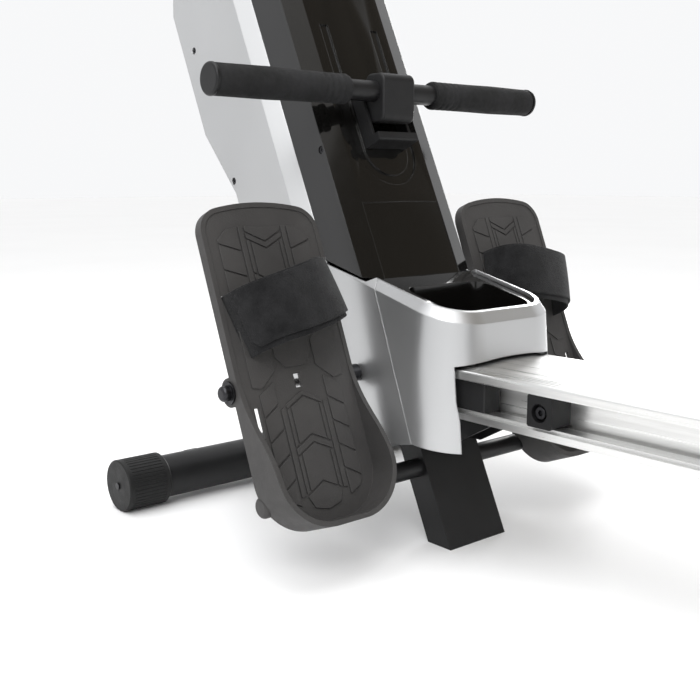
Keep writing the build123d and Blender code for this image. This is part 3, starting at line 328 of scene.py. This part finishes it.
def brushed(name, dark, light, low, high, stretch, scale=55, depth=0.00003):
    """Metal with fine lines along the direction that is stretched least."""
    metal = Finish(name, Metallic=1.0)
    lines = metal.noise(scale, stretch, detail=6, rough=0.7)
    metal.colours(metal.noise(scale / 3, stretch, detail=4), dark, light)
    metal.roughness(lines, low, high)
    return metal.bump(lines, depth, 0.45).material


def hook_and_loop():
    """Wide strap of the foot plates: dull black looped pile."""
    pile = Finish("foot_strap_pile", Specular_IOR_Level=0.15, Sheen_Weight=0.12, Sheen_Roughness=0.5)
    fuzz = pile.noise(900, detail=5, rough=0.75)
    tufts = pile.combine(fuzz, pile.noise(60))
    pile.colours(tufts, (0.004, 0.004, 0.0045), (0.020, 0.020, 0.021), 0.12, 0.42)
    pile.roughness(pile.noise(300), 0.86, 0.98)
    return pile.bump(fuzz, 0.0007, 0.9).bump(pile.cells(750), 0.0005, 0.6).material


def webbing():
    """Pull strap: flat woven nylon."""
    woven = Finish("woven_nylon_webbing", Specular_IOR_Level=0.3, Sheen_Weight=0.2)
    across = woven.wave(230, "X")
    along = woven.wave(300, "Y")
    weave = woven.combine(across, along)
    woven.colours(weave, (0.007, 0.007, 0.008), (0.030, 0.030, 0.031), 0.0, 0.8)
    woven.roughness(woven.noise(80), 0.66, 0.8)
    return woven.bump(weave, 0.0004, 0.8).material


def seat_vinyl():
    vinyl = Finish("seat_vinyl", Specular_IOR_Level=0.4)
    vinyl.colours(vinyl.noise(11), (0.010, 0.010, 0.011), (0.021, 0.021, 0.022))
    vinyl.roughness(vinyl.noise(70), 0.42, 0.58)
    grain = vinyl.cells(330, feature="DISTANCE_TO_EDGE")
    vinyl.bump(vinyl.spread(grain, 0, 1, 0.0, 0.28), 0.0005, 0.45)
    return vinyl.bump(vinyl.noise(900), 0.0001, 0.3).material


def foam():
    soft = Finish("closed_cell_foam", Specular_IOR_Level=0.25)
    soft.colours(soft.noise(30), (0.010, 0.010, 0.010), (0.020, 0.020, 0.021))
    soft.roughness(soft.noise(200), 0.8, 0.95)
    return soft.bump(soft.cells(1300), 0.0004, 0.7).material


def lcd_glass():
    glass = Finish("lcd_window", Specular_IOR_Level=0.6, Coat_Weight=1.0, Coat_Roughness=0.03)
    glass.colours(glass.noise(8), (0.165, 0.19, 0.165), (0.185, 0.21, 0.18))
    glass.roughness(glass.noise(30), 0.08, 0.14)
    return glass.bump(glass.noise(500), 0.00002, 0.2).material


def pale_floor():
    floor = Finish("pale_studio_floor", Specular_IOR_Level=0.2)
    floor.colours(floor.noise(1.2), (0.90, 0.90, 0.90), (0.92, 0.92, 0.92))
    floor.roughness(floor.noise(4), 0.65, 0.8)
    return floor.material


POWDER = powder_coat()
SILVER = satin_silver()
GLOSS = gloss_black()
FINE_BLACK = moulded("fine_black_plastic", (0.007, 0.007, 0.0075), (0.012, 0.012, 0.0125), 0.42, 0.55)
PEDAL = moulded("charcoal_pedal_plastic", (0.040, 0.0385, 0.038), (0.053, 0.051, 0.050), 0.44, 0.58,
                520, 0.0002)
CAP_RUBBER = moulded("cap_plastic", (0.006, 0.006, 0.006), (0.011, 0.011, 0.011), 0.48, 0.62,
                     800, 0.0002, 0.6)
RUBBER = moulded("roller_rubber", (0.014, 0.014, 0.014), (0.026, 0.026, 0.026), 0.6, 0.78)
GREY_PLASTIC = moulded("grey_pulley_plastic", (0.055, 0.055, 0.058), (0.075, 0.075, 0.08), 0.4, 0.55)
BUTTON = moulded("soft_grey_button", (0.20, 0.20, 0.21), (0.26, 0.26, 0.27), 0.5, 0.62)
ALUMINIUM = brushed("anodised_aluminium", (0.73, 0.73, 0.72), (0.86, 0.86, 0.85), 0.24, 0.40,
                    (9, 0.12, 9))
STEEL = brushed("turned_steel", (0.42, 0.42, 0.42), (0.6, 0.6, 0.6), 0.22, 0.38, (0.3, 9, 9), 90)
DARK_STEEL = brushed("black_oxide_steel", (0.030, 0.030, 0.032), (0.060, 0.060, 0.064), 0.28, 0.42,
                     (1, 6, 6), 90)
IRON = brushed("flywheel_iron", (0.16, 0.16, 0.165), (0.24, 0.24, 0.245), 0.35, 0.5, (0.5, 5, 5), 60)
PILE = hook_and_loop()
WEBBING = webbing()
VINYL = seat_vinyl()
FOAM = foam()
LCD = lcd_glass()
INK = moulded("display_bars", (0.012, 0.014, 0.012), (0.02, 0.022, 0.02), 0.35, 0.45)

NODE_FINISH = {
    POWDER: ["main_post", "front_strut", "front_stabiliser_tube", "rear_stabiliser_tube", "rear_leg",
             "drive_plates", "brake_arm", "handle_bar", "seat_carriage"],
    SILVER: ["base_rear_cover", "side_cover_left", "side_cover_right"],
    GLOSS: ["front_cover", "tray_liner"],
    FINE_BLACK: ["tower_top_cap", "handle_cradle", "console_bracket", "console_shell", "tension_knob",
                 "handle_hub", "rail_end_cap", "rail_stop_blocks", "rail_root_blocks", "post_foot_cap",
                 "seat_base"],
    PEDAL: ["pedal_left", "pedal_right", "cross_tube_plugs"],
    CAP_RUBBER: ["stabiliser_end_caps"],
    RUBBER: ["seat_rollers_front", "seat_rollers_rear", "transport_wheel_left", "transport_wheel_right",
             "idler", "guide_roller", "belt"],
    GREY_PLASTIC: ["drive_pulley", "flywheel_pulley", "strap_drum", "recoil_spring_case"],
    BUTTON: ["console_button_1", "console_button_2", "console_button_3"],
    ALUMINIUM: ["rail"],
    STEEL: ["drive_bolts", "drive_axles", "pedal_axle", "seat_axles"],
    DARK_STEEL: ["frame_bolts", "small_screws", "axle_fittings"],
    IRON: ["flywheel", "brake_magnets"],
    PILE: ["foot_strap_left", "foot_strap_right"],
    WEBBING: ["pull_strap", "strap_coil"],
    VINYL: ["seat_pad"],
    FOAM: ["handle_grips"],
    LCD: ["console_screen"],
}
for finish, names in NODE_FINISH.items():
    for name in names:
        mesh = frame["nodes"][name].data
        mesh.materials.clear()
        mesh.materials.append(finish)


# ---- foot plates --------------------------------------------------------------------------
def pedal_place(side):
    return Matrix.Translation((side * PEDAL_X, AXLE.y, AXLE.z)) @ Matrix.Rotation(-PEDAL_LEAN, 4, "X")


# Columns of the tread, in millimetres from its middle: centre, narrow strip, side.
CENTRE, STRIP, SIDE, SIDE_LOW = 22, 29, 55, 49


def chevrons(tips, rise):
    """Cells between neighbouring chevrons; their ends are rise above their tips."""
    return [[(-CENTRE, top + rise), (0, top), (CENTRE, top + rise),
             (CENTRE, low + rise), (0, low), (-CENTRE, low + rise)]
            for top, low in zip(tips, tips[1:])]


def nested(top, low, rise):
    """A shield with a narrow band down each side of it, filling the column between two chevrons."""
    inner = CENTRE - 5
    shoulder = rise * inner / CENTRE
    band = [(inner, top + shoulder), (CENTRE, top + rise), (CENTRE, low + rise), (inner, low + shoulder)]
    shield = [(-inner, top + shoulder), (0, top), (inner, top + shoulder),
              (inner, low + shoulder), (0, low), (-inner, low + shoulder)]
    return [shield, band, [(-u, a) for u, a in band]]


def slanted(heights, outer, rise):
    """Cells of a side column between dividers that end rise higher at the outer edge."""
    return [[(STRIP, top), (outer, top + rise), (outer, low + rise), (STRIP, low)]
            for top, low in zip(heights, heights[1:])]


def tread_cells():
    """Cells of the tread as (u, a) outlines in millimetres; the gaps between them are the lines."""
    centre = [[(-CENTRE, 158), (CENTRE, 158), (CENTRE, 152), (0, 141), (-CENTRE, 152)],
              [(-CENTRE, 51), (0, 40), (CENTRE, 51), (CENTRE, 25), (12, 13), (-12, 13), (-CENTRE, 25)],
              [(-CENTRE, -111), (0, -100), (CENTRE, -111), (16, -124), (0, -128), (-16, -124)]]
    centre += chevrons((141, 134), 11) + chevrons((99, 92, 62, 55, 40), 11)
    centre += nested(134, 99, 11) + nested(-16, -54, -11) + nested(-62, -100, -11)
    centre += chevrons((-10, -16), -11) + chevrons((-54, -62), -11)
    side = [[(CENTRE, 158), (STRIP, 158), (STRIP, 58), (CENTRE, 51)],
            [(CENTRE, -22), (STRIP, -26), (STRIP, -112), (CENTRE, -111)],
            [(STRIP, 158), (43, 156), (SIDE, 145), (SIDE, 141), (STRIP, 132)],
            [(24, 38), (37, 51), (SIDE, 58), (SIDE, -2), (43, -4), (24, 12)],
            [(STRIP, -92), (SIDE_LOW, -104), (44, -113), (STRIP, -120)]]
    side += slanted((132, 106, 80, 54), SIDE, 9)
    side += slanted((3, -20, -44, -68, -92), SIDE_LOW, -12)
    return centre + side + [[(-u, a) for u, a in points] for points in side]


def raised_pad(points):
    """One pad: a cell drawn in by half a gap, rounded at its corners and raised off the plate."""
    sunk = 0.1 * MM                   # its foot is this deep in the plate
    bpy.ops.mesh.primitive_circle_add(vertices=len(points), radius=1, fill_type="NGON")
    pad = bpy.context.object
    for vertex, (u, a) in zip(pad.data.vertices, points):
        vertex.co = (u * MM, -BED_FACE + sunk, a * MM)
    edit(pad)
    bpy.ops.mesh.select_all(action="SELECT")
    bpy.ops.mesh.inset(thickness=PAD_GAP / 2, depth=0)
    bpy.ops.mesh.select_all(action="INVERT")
    bpy.ops.mesh.delete(type="FACE")
    bpy.ops.mesh.select_mode(type="VERT")
    bpy.ops.mesh.select_all(action="SELECT")
    bpy.ops.mesh.bevel(offset=0.8 * MM, segments=2, affect="VERTICES")
    bpy.ops.mesh.select_mode(type="FACE")
    bpy.ops.mesh.select_all(action="SELECT")
    bpy.ops.mesh.extrude_region_move(TRANSFORM_OT_translate={"value": (0, -PAD_RISE - sunk, 0)})
    bpy.ops.mesh.select_all(action="SELECT")
    bpy.ops.mesh.normals_make_consistent(inside=False)
    done()
    rounded(pad, 0.25 * MM, 1, 50)
    return pad


def make_tread(name, side, body):
    pads = [raised_pad(points) for points in tread_cells()]
    settle(joined(name, pads), body, PEDAL, pedal_place(side))


# Strap over the foot: its middle line is a full arch, and both ends go down through the slots.
ARCH_HALF, ARCH_HEIGHT, ARCH_BASE = 55.5 * MM, 47.5 * MM, 16 * MM
ARCH_FULLNESS = 0.86              # below 1 the top is flatter than an ellipse
STRAP_THICK = 1.9 * MM
SLOT_DEPTH = 55 * MM              # how fast an end runs straight down its slot


def strap_place(side):
    turned_strap = Matrix.Rotation(side * STRAP_TURN, 4, "Y")
    return pedal_place(side) @ Matrix.Translation((0, 0, STRAP_CENTRE_A)) @ turned_strap


def arch_point(turn, lift):
    """Point of the arch in (u, b); turn runs from 0 at the outer slot to pi at the inner one."""
    c, s = math.cos(turn), math.sin(turn)
    u = -math.copysign(abs(c) ** ARCH_FULLNESS, c) * (ARCH_HALF + lift)
    b = ARCH_BASE + abs(s) ** ARCH_FULLNESS * (ARCH_HEIGHT + lift)
    return u, b


def strap_layer(name, side, turns, lift, edges, drift, clip):
    """Band along the arch between two turns; edges are its two sides and drift slides it towards
    the top of the plate along its length. clip is how far the free end's corners are cut."""
    bpy.ops.mesh.primitive_grid_add(x_subdivisions=96, y_subdivisions=20, size=1)
    layer = fresh(name)
    turn0, turn1 = turns
    for vertex in layer.data.vertices:
        along, across = vertex.co.x + 0.5, vertex.co.y + 0.5
        turn = turn0 + (turn1 - turn0) * along
        held = min(max(turn, 0), math.pi)
        u, b = arch_point(held, lift)
        b -= SLOT_DEPTH * abs(turn - held)
        narrow = clip - min(along * (turn1 - turn0) * ARCH_HALF, clip)
        a = edges[0] + narrow + across * (edges[1] - edges[0] - 2 * narrow) + drift * along
        free = math.sin(held)                       # the slots hold the ends flat and straight
        sway = 1.3 * MM * math.sin(2.6 * along * math.pi + 0.6)
        sway += 0.6 * MM * math.sin(9 * along + 2.2 * across)
        crown = 1.1 * MM * math.sin(math.pi * across) * free
        curl = 0.9 * MM * math.sin(7.3 * along + side) * (2 * across - 1) * free
        vertex.co = (-side * u, -(b + crown + curl), a + sway * free)
    apply(layer, "SOLIDIFY", thickness=STRAP_THICK, offset=0)
    outward(layer)
    rounded(layer, 0.6 * MM, 3, 50)
    return layer


def make_foot_strap(name, side, body):
    """Two layers: the lower one goes through both slots, the upper one folds back and ends clipped."""
    half = STRAP_WIDTH / 2
    wider = 1.2 * MM
    under = strap_layer("under", side, turns=(-0.12, math.pi + 0.12), lift=0,
                        edges=(-half - wider, half + wider), drift=0, clip=0)
    over = strap_layer("over", side, turns=(0.20, math.pi - 0.04), lift=3.0 * MM,
                       edges=(-half + 4.5 * MM, half), drift=-2 * MM, clip=9 * MM)
    strap = joined(name, [under, over])
    settle(strap, body, PILE, strap_place(side), 50)
    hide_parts(name.replace("_webbing", ""))


for side, word in ((-1, "left"), (1, "right")):
    make_tread(f"pedal_tread_{word}", side, f"pedal_{word}")
    make_foot_strap(f"foot_strap_{word}_webbing", side, f"pedal_{word}")


# ---- covers -------------------------------------------------------------------------------
def crease_at(x):
    """How far the front cover's flat stands proud at a distance from its middle."""
    return CREASE * (1 - abs(x) / FACE_HALF)


def make_front_cover():
    """Black front cover with its soft crease down the middle and rounded edges."""
    cover = copy_of("front_cover", "front_cover_moulding")
    edit(cover)
    bpy.ops.mesh.select_all(action="SELECT")
    bpy.ops.mesh.dissolve_limited(angle_limit=math.radians(0.5))
    bpy.ops.mesh.select_all(action="SELECT")
    bpy.ops.mesh.bisect(plane_co=(0, 0, 0), plane_no=(1, 0, 0))
    done()
    to_tower = TOWER.inverted()
    rearwards = TOWER.to_3x3() @ Vector((0, -1, 0))
    for vertex in cover.data.vertices:
        place = to_tower @ vertex.co
        if abs(place.x) < FACE_HALF and place.y < FACE_F + 4 * MM:
            vertex.co += rearwards * crease_at(place.x)
    rounded(cover, 0.7 * MM, 2, 35)
    settle(cover, "frame", GLOSS, angle=20)
    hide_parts("front_cover")


def piped_loop(name, width, depth, corner, radius, place, body, finish):
    """Round bead along a rounded rectangle that lies in local x and y."""
    bpy.ops.mesh.primitive_plane_add(size=1)
    loop = fresh(name)
    for vertex in loop.data.vertices:
        vertex.co = (vertex.co.x * width, vertex.co.y * depth, 0)
    edit(loop, "VERT")
    bpy.ops.mesh.select_all(action="SELECT")
    bpy.ops.mesh.bevel(offset=corner, segments=10, affect="VERTICES")
    bpy.ops.mesh.delete(type="ONLY_FACE")
    done()
    bpy.ops.object.convert(target="CURVE")
    loop = bpy.context.object
    loop.data.bevel_depth = radius
    loop.data.bevel_resolution = 3
    bpy.ops.object.convert(target="MESH")
    return settle(fresh(name), body, finish, place, 60)


# ---- seat ---------------------------------------------------------------------------------
DRAWN_IN = (0.975, 0.97, 0.90)    # the cushion starts smaller than the pad it replaces, then swells
SWELL, SWELL_LIMIT = 4, 6 * MM    # pressure inside, and the furthest that a point may move
GLUED = 6 * MM                    # this much of its lower edge is held by the base
HOLLOW_DEPTH = 5.5 * MM           # two hollows for the thighs, just behind the middle
HOLLOW_ACROSS, HOLLOW_ALONG = 0.46, 0.12
SEAM_LEVEL = 0.36                 # the sewn bead's height, of the pad's


def swollen(piece, pinned, pressure, limit):
    """Inflates a pad by cloth simulation; no point moves further than the limit."""
    group = piece.vertex_groups.new(name="held")
    rest = [vertex.co.copy() for vertex in piece.data.vertices]
    group.add([vertex.index for vertex in piece.data.vertices if pinned(vertex.co)], 1.0, "REPLACE")
    only(piece)
    cloth = piece.modifiers.new("cloth", "CLOTH")
    cloth.settings.use_pressure = True
    cloth.settings.uniform_pressure_force = pressure
    cloth.settings.effector_weights.gravity = 0
    cloth.settings.vertex_group_mass = "held"
    scene = bpy.context.scene
    last_step = 20
    for step in range(1, last_step + 1):
        scene.frame_set(step)
    shaped = piece.evaluated_get(bpy.context.evaluated_depsgraph_get()).to_mesh()
    moved = [vertex.co.copy() for vertex in shaped.vertices]
    piece.modifiers.remove(cloth)
    for vertex, start, end in zip(piece.data.vertices, rest, moved):
        way = end - start
        if way.length > limit:
            way *= limit / way.length
        vertex.co = start + way
    scene.frame_set(1)


def make_seat_pad():
    """Crowned vinyl cushion on the seat base, with a dished middle and a sewn bead round it."""
    low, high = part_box("seat_pad")
    centre = (low + high) / 2
    size = high - low
    pad = copy_of("seat_pad", "seat_cushion")
    edit(pad, "VERT")
    bpy.ops.mesh.select_all(action="SELECT")
    bpy.ops.transform.resize(value=DRAWN_IN, center_override=(centre.x, centre.y, low.z))
    done()
    apply(pad, "REMESH", mode="VOXEL", voxel_size=5 * MM)
    swollen(pad, lambda co: co.z < low.z + GLUED, SWELL, SWELL_LIMIT)
    for vertex in pad.data.vertices:
        across = 2 * (vertex.co.x - centre.x) / size.x
        along = 2 * (vertex.co.y - centre.y) / size.y
        height = (vertex.co.z - low.z) / size.z
        hollow = math.exp(-2.6 * (abs(across) - HOLLOW_ACROSS) ** 2 * 4)
        hollow *= math.exp(-3.2 * (along + HOLLOW_ALONG) ** 2)
        if height > 0.5:
            vertex.co.z -= HOLLOW_DEPTH * hollow * min((height - 0.5) / 0.3, 1)
    apply(pad, "SUBSURF", levels=1, render_levels=1)
    settle(pad, "seat", VINYL, angle=80)
    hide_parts("seat_pad")
    seam_z = low.z + SEAM_LEVEL * size.z
    near_seam = [vertex.co for vertex in pad.data.vertices if abs(vertex.co.z - seam_z) < 4 * MM]
    width = 2 * max(abs(co.x - centre.x) for co in near_seam)
    depth = 2 * max(abs(co.y - centre.y) for co in near_seam)
    tight, corner, bead = 1 * MM, 72 * MM, 1.9 * MM
    piped_loop("seat_piping", width - tight, depth - tight, corner, bead,
               Matrix.Translation((centre.x, centre.y, seam_z)), "seat", VINYL)


# ---- handle -------------------------------------------------------------------------------
HANDLE_LOW, HANDLE_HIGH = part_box("handle_bar")
HANDLE = (HANDLE_LOW + HANDLE_HIGH) / 2


def make_grips():
    """Foam grips with a swelled middle, a rolled lip at each end and finger rings."""
    r, start, end = 15.5 * MM, 62 * MM, 226 * MM
    profile = [(start, r - 3 * MM), (start + 1 * MM, r - 0.8 * MM), (start + 3 * MM, r), (start + 7 * MM, r)]
    x, pitch, groove, ridge = start + 9 * MM, 8.4 * MM, r - 1.1 * MM, r - 0.1 * MM
    while x < start + 40 * MM:
        profile += [(x, groove), (x + 1.2 * MM, groove), (x + 3.2 * MM, ridge), (x + 6.4 * MM, ridge)]
        x += pitch
    profile += [(start + 60 * MM, r), (start + 100 * MM, r + 0.5 * MM), (end - 12 * MM, r),
                (end - 2 * MM, r), (end - 0.4 * MM, r - 1.2 * MM)]
    middle = Matrix.Translation(HANDLE)
    pieces = [stood(turned("grip", profile), middle @ Matrix.Rotation(turn, 4, "Z"))
              for turn in (0, math.pi)]
    grips = settle(joined("handle_foam_grips", pieces), "handle", FOAM, angle=40)
    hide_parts("handle_grips")


def make_pull_strap():
    """Webbing from the guide roller to the handle's hub."""
    low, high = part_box("pull_strap")
    middle = (low + high) / 2
    bpy.ops.mesh.primitive_grid_add(x_subdivisions=10, y_subdivisions=90, size=1)
    strap = fresh("pull_webbing")
    for vertex in strap.data.vertices:
        edge = 2 * abs(vertex.co.x)
        vertex.co = (vertex.co.x * (high.x - low.x), middle.y + vertex.co.y * (high.y - low.y),
                     middle.z - 0.25 * MM * edge ** 6)
    apply(strap, "SOLIDIFY", thickness=1.5 * MM, offset=0)
    outward(strap)
    settle(strap, None, WEBBING, angle=40)
    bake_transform(strap)
    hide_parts("pull_strap")


# ---- knob scale and console ---------------------------------------------------------------
def tower_place(x, f, s):
    """Upright in the tower frame at a place on the rower's side: local x across, z up, y forwards."""
    return TOWER @ Matrix.Translation((x, f, s))


def small_bar(name, width, height, depth):
    """Thin bar with cut corners, standing in local x and z, its face towards the rower."""
    bpy.ops.mesh.primitive_cube_add(size=1)
    bar = fresh(name)
    for vertex in bar.data.vertices:
        vertex.co = (vertex.co.x * width, vertex.co.y * depth, vertex.co.z * height)
    apply(bar, "BEVEL", width=0.24 * min(width, height), segments=2, limit_method="NONE")
    return bar


def make_knob_scale():
    """Ticks and numbers round the tension knob, on the crease's own height."""
    def beside_knob(reach, turn):
        x, up = reach * math.sin(turn), reach * math.cos(turn)
        return tower_place(x, FACE_F - crease_at(x), KNOB_S + up)

    marks, tick_reach, number_reach = [], KNOB_R + 5.5 * MM, 8 * MM
    for step in range(8):
        turn = math.radians(-135 + step * 270 / 7)
        tick = small_bar("tick", 1.2 * MM, 5 * MM, 0.6 * MM)
        marks.append(stood(tick, beside_knob(tick_reach, turn) @ Matrix.Rotation(turn, 4, "Y")))
        bpy.ops.object.text_add()
        number = bpy.context.object
        number.data.body = str(step + 1)
        number.data.size = 7 * MM
        number.data.extrude = 0.25 * MM
        number.data.align_x, number.data.align_y = "CENTER", "CENTER"
        place = beside_knob(tick_reach + number_reach, turn)
        marks.append(stood(number, place @ Matrix.Rotation(math.pi / 2, 4, "X")))
    settle(joined("tension_scale", marks), "frame", BUTTON)


# Lit bars of each digit: 0 top, 1 upper right, 2 lower right, 3 bottom, 4 lower left, 5 upper left,
# 6 middle.
LIT = {0: (0, 1, 2, 3, 4, 5), 2: (0, 1, 6, 4, 3), 4: (5, 6, 1, 2), 5: (0, 5, 6, 2, 3),
       8: (0, 1, 2, 3, 4, 5, 6)}
BAR_DEPTH = 0.3 * MM
BAR_WIDE = 0.11                   # a bar's width, of the digit's height


def digit_bars(digit, x, s, width, height):
    bars = []
    for bar in LIT[digit]:
        level = {0: 0.5, 3: -0.5, 6: 0.0}.get(bar)
        if level is not None:
            piece = small_bar("bar", width * 0.78, height * BAR_WIDE, BAR_DEPTH)
            place = (x, SCREEN_F, s + level * height)
        else:
            piece = small_bar("bar", height * BAR_WIDE, height * 0.4, BAR_DEPTH)
            side = 0.5 if bar in (1, 2) else -0.5
            place = (x + side * width, SCREEN_F, s + (0.25 if bar in (1, 5) else -0.25) * height)
        bars.append(stood(piece, tower_place(*place)))
    return bars


def make_display():
    """The display's bars, large digits over a line over small ones, and the bead round its window."""
    bars, large_row, small_row = [], 11, -17
    for digit, x in ((2, -34), (0, -14), (4, 12), (5, 32)):
        bars += digit_bars(digit, x * MM, SCREEN_S + large_row * MM, 11 * MM, 21 * MM)
    for digit, x in ((8, -44), (2, -36), (0, -28), (2, 28), (5, 36)):
        bars += digit_bars(digit, x * MM, SCREEN_S + small_row * MM, 4.6 * MM, 9 * MM)
    for up in (-4, 4):
        dot = small_bar("dot", 2.4 * MM, 2.4 * MM, BAR_DEPTH)
        bars.append(stood(dot, tower_place(-1 * MM, SCREEN_F, SCREEN_S + (large_row + up) * MM)))
    line = small_bar("line", 98 * MM, 0.7 * MM, BAR_DEPTH)
    bars.append(stood(line, tower_place(0, SCREEN_F, SCREEN_S - 7 * MM)))
    settle(joined("console_display", bars), "console", INK)
    upright = tower_place(0, SCREEN_F - 0.2 * MM, SCREEN_S) @ Matrix.Rotation(math.pi / 2, 4, "X")
    piped_loop("console_bezel", 119 * MM, 65 * MM, 6 * MM, 1.4 * MM, upright,
               "console", GLOSS)


make_front_cover()
make_seat_pad()
make_grips()
make_pull_strap()
make_knob_scale()
make_display()


# ---- stage --------------------------------------------------------------------------------
DIM_SIDE = (0.43, -0.665, 0.61)   # middle of the studio's dim side, seen from the machine
DIM_AIR, BRIGHT_AIR = (0.23, 0.20, 0.16, 1), (0.985, 0.99, 1.0, 1)
LIT_PLACE = (0, 0.45, 0.35)       # the lamps point here
CAMERA_X, CAMERA_BEHIND_FOOT, CAMERA_Z = -735.5 * MM, 676.4 * MM, 376 * MM
CAMERA_TILT, CAMERA_TURN = math.radians(80.1), math.radians(-40.2)


def area_light(name, location, size, power):
    bpy.ops.object.light_add(type="AREA", location=location)
    lamp = bpy.context.object
    lamp.name = name
    lamp.data.shape = "RECTANGLE"
    lamp.data.size, lamp.data.size_y = size
    lamp.data.energy = power
    lamp.visible_camera = False
    direction = Vector(LIT_PLACE) - Vector(location)
    lamp.rotation_euler = direction.to_track_quat("-Z", "Y").to_euler()


def studio_air():
    """White to the camera; what the surfaces mirror is dimmer to one side, behind the camera."""
    world = bpy.data.worlds.new("studio_air")
    bpy.context.scene.world = world
    world.use_nodes = True
    tree = world.node_tree
    background = tree.nodes["Background"]
    direction = tree.nodes.new("ShaderNodeTexCoord").outputs["Generated"]
    facing = tree.nodes.new("ShaderNodeVectorMath")
    facing.operation = "DOT_PRODUCT"
    facing.inputs[1].default_value = DIM_SIDE
    shade = tree.nodes.new("ShaderNodeMapRange")
    shade.interpolation_type = "SMOOTHSTEP"
    for key, value in (("From Min", 0.78), ("From Max", 0.93), ("To Min", 1.0), ("To Max", 0.0)):
        shade.inputs[key].default_value = value
    seen = tree.nodes.new("ShaderNodeMath")
    seen.operation = "MAXIMUM"
    colour = tree.nodes.new("ShaderNodeMix")
    colour.data_type = "RGBA"
    colour.inputs["A"].default_value = DIM_AIR
    colour.inputs["B"].default_value = BRIGHT_AIR
    tree.links.new(direction, facing.inputs[0])
    tree.links.new(facing.outputs["Value"], shade.inputs["Value"])
    tree.links.new(shade.outputs["Result"], seen.inputs[0])
    tree.links.new(tree.nodes.new("ShaderNodeLightPath").outputs["Is Camera Ray"], seen.inputs[1])
    tree.links.new(seen.outputs["Value"], colour.inputs["Factor"])
    tree.links.new(colour.outputs["Result"], background.inputs["Color"])
    background.inputs["Strength"].default_value = 0.95


def make_stage():
    bpy.ops.mesh.primitive_plane_add(size=40, location=(0, 0, 0))
    floor = fresh("studio_floor")
    floor.data.materials.append(pale_floor())
    studio_air()
    bpy.context.scene.view_settings.view_transform = "Standard"
    area_light("key_softbox", (-1.7, -0.8, 2.0), size=(1.4, 1.0), power=24)
    area_light("edge_strip", (1.7, 1.37, 0.83), size=(0.25, 1.2), power=16)
    area_light("top_softbox", (-0.2, 0.5, 2.6), size=(2.2, 1.6), power=22)
    bpy.ops.object.light_add(type="SUN", rotation=(math.radians(24), math.radians(-28), 0))
    sky = fresh("sky_fill")
    sky.data.energy = 0.8
    sky.data.angle = math.radians(70)


def make_camera():
    """Low and to the left of the rail, turned towards the foot plates."""
    bpy.ops.object.camera_add(location=(CAMERA_X, FOOT_Y - CAMERA_BEHIND_FOOT, CAMERA_Z),
                              rotation=(CAMERA_TILT, 0, CAMERA_TURN))
    camera = bpy.context.object
    camera.data.lens = 50
    camera.data.sensor_width = 36
    camera.data.clip_start = 0.01
    bpy.context.scene.camera = camera


make_stage()
make_camera()
